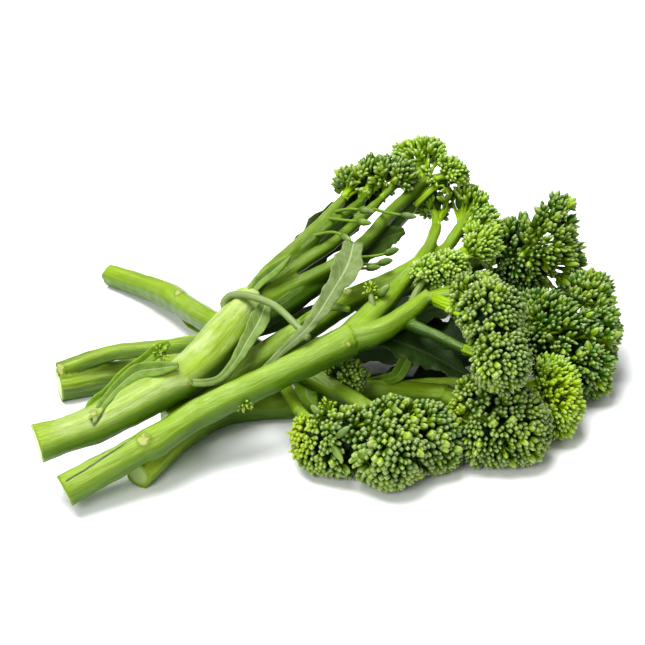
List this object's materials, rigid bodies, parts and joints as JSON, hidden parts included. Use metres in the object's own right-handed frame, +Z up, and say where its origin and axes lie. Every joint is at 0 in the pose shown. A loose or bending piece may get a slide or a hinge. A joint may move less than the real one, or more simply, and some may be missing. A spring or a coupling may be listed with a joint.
{
  "type": "baby broccoli bunch",
  "caption": "Bunch of baby broccoli lying on a surface: slim green stalks with cut ends, small leaves and budded flower heads.",
  "frame": {"origin": "on the surface that the bunch lies on, under the middle of its bounding box", "axes": "+X along the bunch from its cut ends to its flower heads, +Y away from the viewer of the picture, +Z up"},
  "size_m": [0.1957, 0.154, 0.0655],
  "materials": {
    "stem_front": "smooth yellow-green stalk with a faint waxy bloom",
    "stem_thick": "pale ribbed stalk with a waxy bloom",
    "stem_deep": "deeper green stalk, finely streaked",
    "bud": "matt blue-green flower buds with paler tips",
    "bud_pale": "bright yellow-green young buds and pedicels"
  },
  "bodies": {
    "root": {"stem_front": "stem_front", "stem_thick": "stem_thick", "stem_back": "stem_deep", "stem_streaked": "stem_deep", "stem_low": "stem_deep", "stem_middle": "stem_front", "head_front_small": "bud", "head_front": "bud", "head_top_left": "bud", "head_top_right": "bud", "head_near": "bud", "head_side": "bud", "head_right": "bud", "head_pointed": "bud", "head_low": "bud", "head_pale": "bud_pale", "head_middle": "bud"}
  },
  "joints": []
}
